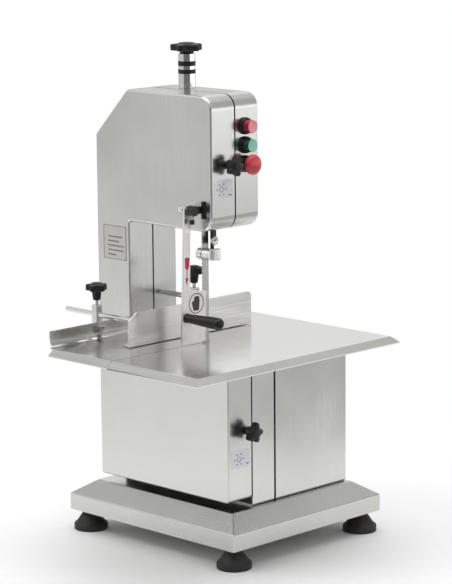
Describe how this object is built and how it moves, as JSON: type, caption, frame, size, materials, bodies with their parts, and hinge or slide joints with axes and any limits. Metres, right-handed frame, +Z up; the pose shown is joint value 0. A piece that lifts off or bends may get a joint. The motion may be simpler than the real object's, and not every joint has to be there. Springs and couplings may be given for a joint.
{
  "type": "bone saw",
  "caption": "Countertop band saw for cutting bone and frozen meat, with a C-shaped stainless casing, a side table, a sliding fence and a hanging pusher.",
  "frame": {"origin": "middle of the bounding box of the whole machine, on the surface that its feet stand on", "axes": "+Z up; the operator stands at -Y facing the door; +X is the operator's right, where the table and the head reach out from the column"},
  "size_m": [0.498, 0.536, 0.857],
  "materials": {
    "stainless": "fine brushed stainless sheet",
    "polished_steel": "polished stainless",
    "chrome": "bright ground steel",
    "dark_steel": "blackened steel",
    "blade_steel": "ground band steel",
    "cast_alloy": "cast and turned alloy",
    "black_plastic": "satin black moulding",
    "black_rubber": "black rubber",
    "stop_plastic": "red push button",
    "start_plastic": "green push button",
    "red_plastic": "red mushroom button",
    "motor_paint": "enamelled motor housing"
  },
  "bodies": {
    "machine": {"base_tray": "stainless", "base_floor_ring": "stainless", "frame_shell": "stainless", "motor_box": "stainless", "motor_vent_cover": "stainless", "slide_rail_left": "stainless", "slide_rail_right": "stainless", "table_bracket_left": "stainless", "table_bracket_right": "stainless", "table_top": "polished_steel", "rear_fence_rod": "polished_steel", "front_clamp_block": "polished_steel", "hinge_frame_lower": "polished_steel", "hinge_frame_upper": "polished_steel", "tension_tube": "chrome", "tension_spring": "chrome", "lower_guide": "dark_steel", "saw_blade": "blade_steel", "bearing_housing": "cast_alloy", "guide_holder": "cast_alloy", "bezel_stop": "black_plastic", "bezel_start": "black_plastic", "bezel_emergency": "black_plastic", "cable_gland": "black_plastic", "foot_front_left": "black_rubber", "foot_front_right": "black_rubber", "foot_rear_left": "black_rubber", "foot_rear_right": "black_rubber", "motor": "motor_paint"},
    "door": {"door_shell": "stainless", "hinge_door_lower": "polished_steel", "hinge_door_upper": "polished_steel", "pusher_bracket": "polished_steel", "pusher_pin": "polished_steel"},
    "upper_door_knob": {"upper_door_knob": "black_plastic"},
    "lower_door_knob": {"lower_door_knob": "black_plastic"},
    "pusher": {"pusher_arm": "polished_steel", "pusher_grip": "black_plastic"},
    "lower_wheel": {"lower_wheel": "cast_alloy", "drive_shaft": "chrome", "lower_wheel_nut": "chrome"},
    "wheel_carrier": {"wheel_slide_block": "cast_alloy", "upper_axle": "chrome"},
    "upper_wheel": {"upper_wheel": "cast_alloy", "upper_wheel_bearing": "chrome"},
    "tension_knob": {"tension_knob": "black_plastic", "tension_screw": "chrome"},
    "blade_guide": {"guide_post": "dark_steel", "upper_guide_block": "dark_steel", "guide_pin_left": "polished_steel", "guide_pin_right": "polished_steel", "guide_screw": "polished_steel"},
    "fence": {"fence": "polished_steel", "front_fence_rod": "polished_steel", "rear_clamp_block": "polished_steel"},
    "front_clamp_knob": {"front_clamp_knob": "black_plastic"},
    "rear_clamp_knob": {"rear_clamp_knob": "black_plastic"},
    "stop_button": {"button_stop": "stop_plastic"},
    "start_button": {"button_start": "start_plastic"},
    "emergency_button": {"button_emergency": "red_plastic"}
  },
  "joints": [
    {"name": "door_hinge", "type": "hinge", "parent": "machine", "child": "door", "pos_m": [-0.2075, -0.0375, 0.2], "axis": [0, 0, 1], "range_deg": [-110, 0]},
    {"name": "upper_door_knob_turn", "type": "hinge", "parent": "door", "child": "upper_door_knob", "pos_m": [0.081, -0.0295, 0.665], "axis": [1, 0, 0], "range_deg": [0, 540]},
    {"name": "lower_door_knob_turn", "type": "hinge", "parent": "door", "child": "lower_door_knob", "pos_m": [0.1155, -0.0245, 0.222], "axis": [1, 0, 0], "range_deg": [0, 540]},
    {"name": "pusher_swing", "type": "hinge", "parent": "door", "child": "pusher", "pos_m": [0.046, -0.085, 0.593], "axis": [1, 0, 0], "range_deg": [-80, 0]},
    {"name": "lower_wheel_spin", "type": "hinge", "parent": "machine", "child": "lower_wheel", "pos_m": [-0.0585, -0.0435, 0.229], "axis": [0, 1, 0], "continuous": true},
    {"name": "tension_knob_turn", "type": "hinge", "parent": "machine", "child": "tension_knob", "pos_m": [-0.0575, 0.0165, 0.8], "axis": [0, 0, 1], "range_deg": [0, 1440]},
    {"name": "tension_slide", "type": "slide", "parent": "machine", "child": "wheel_carrier", "axis": [0, 0, 1], "range_m": [-0.0079, 0]},
    {"name": "upper_wheel_spin", "type": "hinge", "parent": "wheel_carrier", "child": "upper_wheel", "pos_m": [-0.0585, -0.0435, 0.668], "axis": [0, 1, 0], "continuous": true},
    {"name": "guide_height", "type": "slide", "parent": "machine", "child": "blade_guide", "axis": [0, 0, 1], "range_m": [-0.038, 0.015]},
    {"name": "fence_slide", "type": "slide", "parent": "machine", "child": "fence", "axis": [1, 0, 0], "range_m": [-0.067, 0.022]},
    {"name": "front_clamp_turn", "type": "hinge", "parent": "machine", "child": "front_clamp_knob", "pos_m": [-0.1195, -0.1409, 0.423], "axis": [0, 0, 1], "range_deg": [0, 360]},
    {"name": "rear_clamp_turn", "type": "hinge", "parent": "fence", "child": "rear_clamp_knob", "pos_m": [-0.0283, -0.0005, 0.4446], "axis": [0, 0, 1], "range_deg": [0, 360]},
    {"name": "stop_press", "type": "slide", "parent": "machine", "child": "stop_button", "axis": [1, 0, 0], "range_m": [-0.004, 0], "stiffness_N_per_m": 600},
    {"name": "start_press", "type": "slide", "parent": "machine", "child": "start_button", "axis": [1, 0, 0], "range_m": [-0.004, 0], "stiffness_N_per_m": 600},
    {"name": "emergency_press", "type": "slide", "parent": "machine", "child": "emergency_button", "axis": [1, 0, 0], "range_m": [-0.005, 0]}
  ],
  "couplings": [
    {"joint": "tension_knob_turn", "follows": "tension_slide", "rad_per_m": -3141.6},
    {"joint": "upper_wheel_spin", "follows": "lower_wheel_spin", "ratio": 1}
  ]
}
